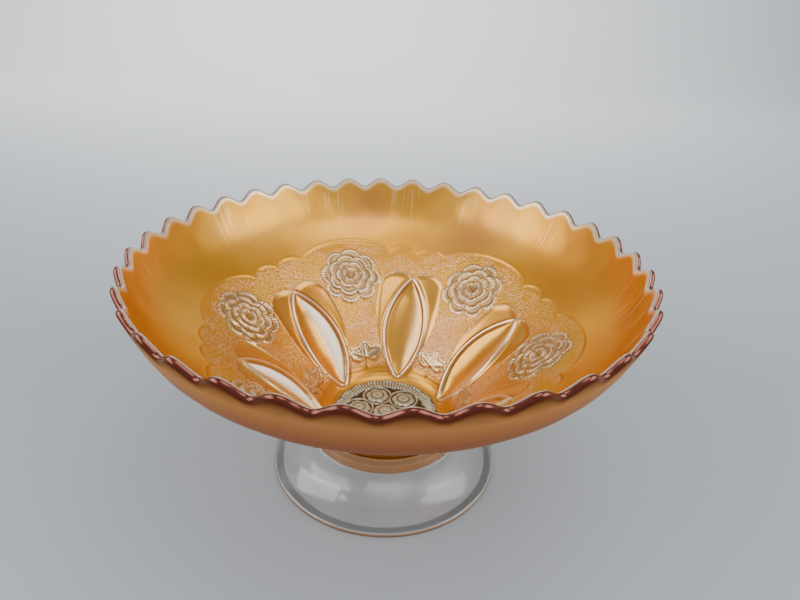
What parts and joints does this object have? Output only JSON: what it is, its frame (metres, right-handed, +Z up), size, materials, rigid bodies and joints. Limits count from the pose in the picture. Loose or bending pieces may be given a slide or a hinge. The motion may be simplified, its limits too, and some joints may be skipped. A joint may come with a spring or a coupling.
{
  "type": "carnival glass bowl",
  "caption": "Wide footed bowl of pressed iridised glass with a scalloped rim, a joining collar and a hollow flared foot.",
  "frame": {"origin": "centre of the foot's resting plane, on the bowl's axis", "axes": "+Z up along the bowl's axis, +X to the right and -Y towards a viewer in front"},
  "size_m": [0.202, 0.202, 0.1025],
  "materials": {
    "marigold_glass": "satin iridescent lustre over pressed glass",
    "amber_glass": "glossy",
    "clear_glass": "glossy"
  },
  "bodies": {
    "root": {"bowl": "marigold_glass", "collar": "amber_glass", "foot": "clear_glass"}
  },
  "joints": []
}
